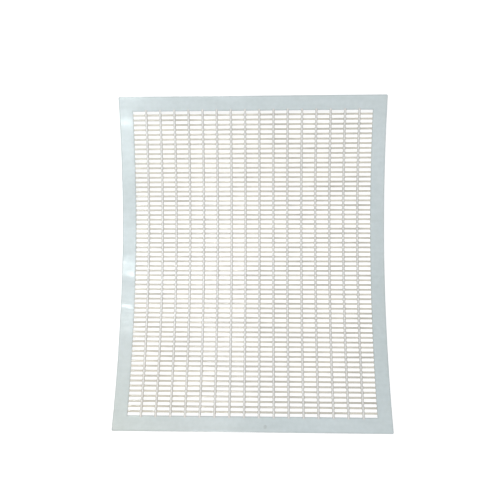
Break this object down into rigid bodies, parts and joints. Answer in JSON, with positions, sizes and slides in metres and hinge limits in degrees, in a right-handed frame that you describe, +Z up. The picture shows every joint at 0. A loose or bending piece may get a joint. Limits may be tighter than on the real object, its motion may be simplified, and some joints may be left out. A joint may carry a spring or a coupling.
{
  "type": "queen excluder",
  "caption": "Thin bowed plastic grille with a plain margin; slots pass worker bees and hold back the queen and drones.",
  "frame": {"origin": "centre of the sheet's underside at the lowest part of its bow, where it touches a table", "axes": "+X across the sheet, +Y along it towards the rear margin, +Z up out of the hollow side, which has the ribs"},
  "size_m": [0.41, 0.5012, 0.0415],
  "materials": {
    "border_plastic": "pale blue-white translucent moulded plastic with a soft gloss",
    "bar_plastic": "the same plastic where it is thin, slightly warmer",
    "rib_plastic": "pale blue-white translucent moulded plastic"
  },
  "bodies": {
    "root": {"front_margin": "border_plastic", "rear_margin": "border_plastic", "left_margin_front": "border_plastic", "left_margin_middle": "border_plastic", "left_margin_rear": "border_plastic", "right_margin_front": "border_plastic", "right_margin_middle": "border_plastic", "right_margin_rear": "border_plastic", "cross_bars_1": "bar_plastic", "cross_bars_2": "bar_plastic", "cross_bars_3": "bar_plastic", "cross_bars_4": "bar_plastic", "cross_bars_5": "bar_plastic", "cross_bars_6": "bar_plastic", "cross_bars_7": "bar_plastic", "cross_bars_8": "bar_plastic", "cross_bars_9": "bar_plastic", "long_rib_01": "rib_plastic", "long_rib_02": "rib_plastic", "long_rib_03": "rib_plastic", "long_rib_04": "rib_plastic", "long_rib_05": "rib_plastic", "long_rib_06": "rib_plastic", "long_rib_07": "rib_plastic", "long_rib_08": "rib_plastic", "long_rib_09": "rib_plastic", "long_rib_10": "rib_plastic", "long_rib_11": "rib_plastic", "long_rib_12": "rib_plastic", "long_rib_13": "rib_plastic", "long_rib_14": "rib_plastic", "long_rib_15": "rib_plastic", "long_rib_16": "rib_plastic"}
  },
  "joints": []
}
